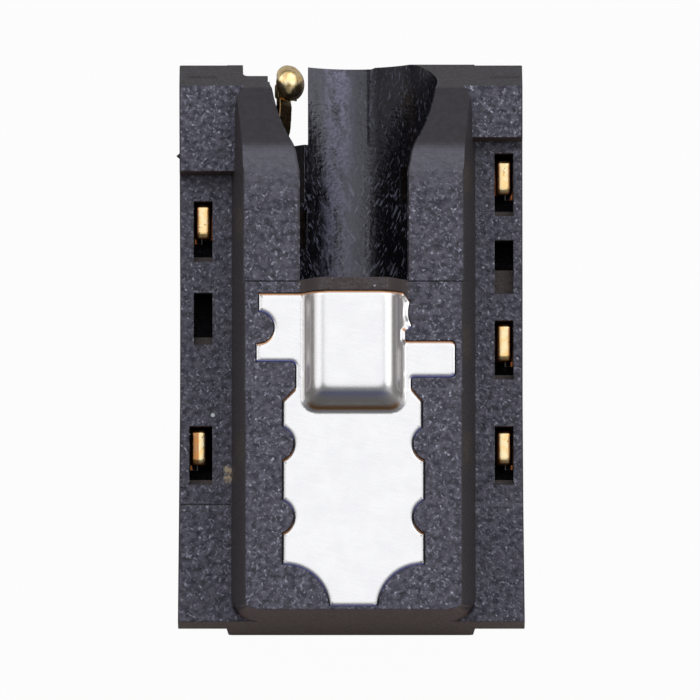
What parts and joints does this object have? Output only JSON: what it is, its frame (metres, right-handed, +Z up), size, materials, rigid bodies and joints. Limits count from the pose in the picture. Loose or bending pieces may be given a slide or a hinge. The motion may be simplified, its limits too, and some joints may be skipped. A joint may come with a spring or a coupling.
{
  "type": "audio jack socket",
  "caption": "Low-profile board-mounted socket for an audio plug: a moulded barrel open above at the mouth, flanges with sprung contacts, and a stamped metal cover plate.",
  "frame": {"origin": "centre of the bounding box's bottom face, on the barrel's flat underside", "axes": "+Y along the plug bore from the mouth to the closed end, +Z up from the underside through the cover plate, +X across, towards the side of the sleeve contact"},
  "size_m": [0.0073, 0.0122, 0.004],
  "materials": {
    "black_plastic": "fine spark-eroded grain",
    "brushed_stainless": "fine brushed",
    "gold_plate": "gold plated, bright"
  },
  "bodies": {
    "socket_body": {"housing": "black_plastic", "cover_plate": "brushed_stainless"},
    "sleeve_spring": {"contact_sleeve": "gold_plate"},
    "detect_spring": {"contact_detect": "gold_plate"},
    "tip_spring": {"contact_tip": "gold_plate"},
    "ring_two_spring": {"contact_ring_two": "gold_plate"},
    "ring_one_spring": {"contact_ring_one": "gold_plate"},
    "tip_switch_spring": {"contact_tip_switch": "gold_plate"}
  },
  "joints": [
    {"name": "sleeve_flex", "type": "hinge", "parent": "socket_body", "child": "sleeve_spring", "pos_m": [0.00145, -0.00376, 0.00078], "axis": [0.6691, 0, 0.7431], "range_deg": [0, 5], "stiffness_Nm_per_rad": 0.007},
    {"name": "detect_flex", "type": "hinge", "parent": "socket_body", "child": "detect_spring", "pos_m": [0.00319, -0.00255, 0.00172], "axis": [0, -1, 0], "range_deg": [0, 6], "stiffness_Nm_per_rad": 0.007},
    {"name": "tip_flex", "type": "hinge", "parent": "socket_body", "child": "tip_spring", "pos_m": [0.00328, 0.0023, 0.00172], "axis": [0, -1, 0], "range_deg": [0, 10], "stiffness_Nm_per_rad": 0.007},
    {"name": "ring_two_flex", "type": "hinge", "parent": "socket_body", "child": "ring_two_spring", "pos_m": [-0.00319, -0.0035, 0.00172], "axis": [0, 1, 0], "range_deg": [0, 6], "stiffness_Nm_per_rad": 0.007},
    {"name": "ring_one_flex", "type": "hinge", "parent": "socket_body", "child": "ring_one_spring", "pos_m": [-0.00319, 0.00005, 0.00172], "axis": [0, 1, 0], "range_deg": [0, 6], "stiffness_Nm_per_rad": 0.007},
    {"name": "tip_switch_flex", "type": "hinge", "parent": "socket_body", "child": "tip_switch_spring", "pos_m": [-0.00319, 0.0023, 0.00172], "axis": [0, 1, 0], "range_deg": [0, 10], "stiffness_Nm_per_rad": 0.007}
  ]
}
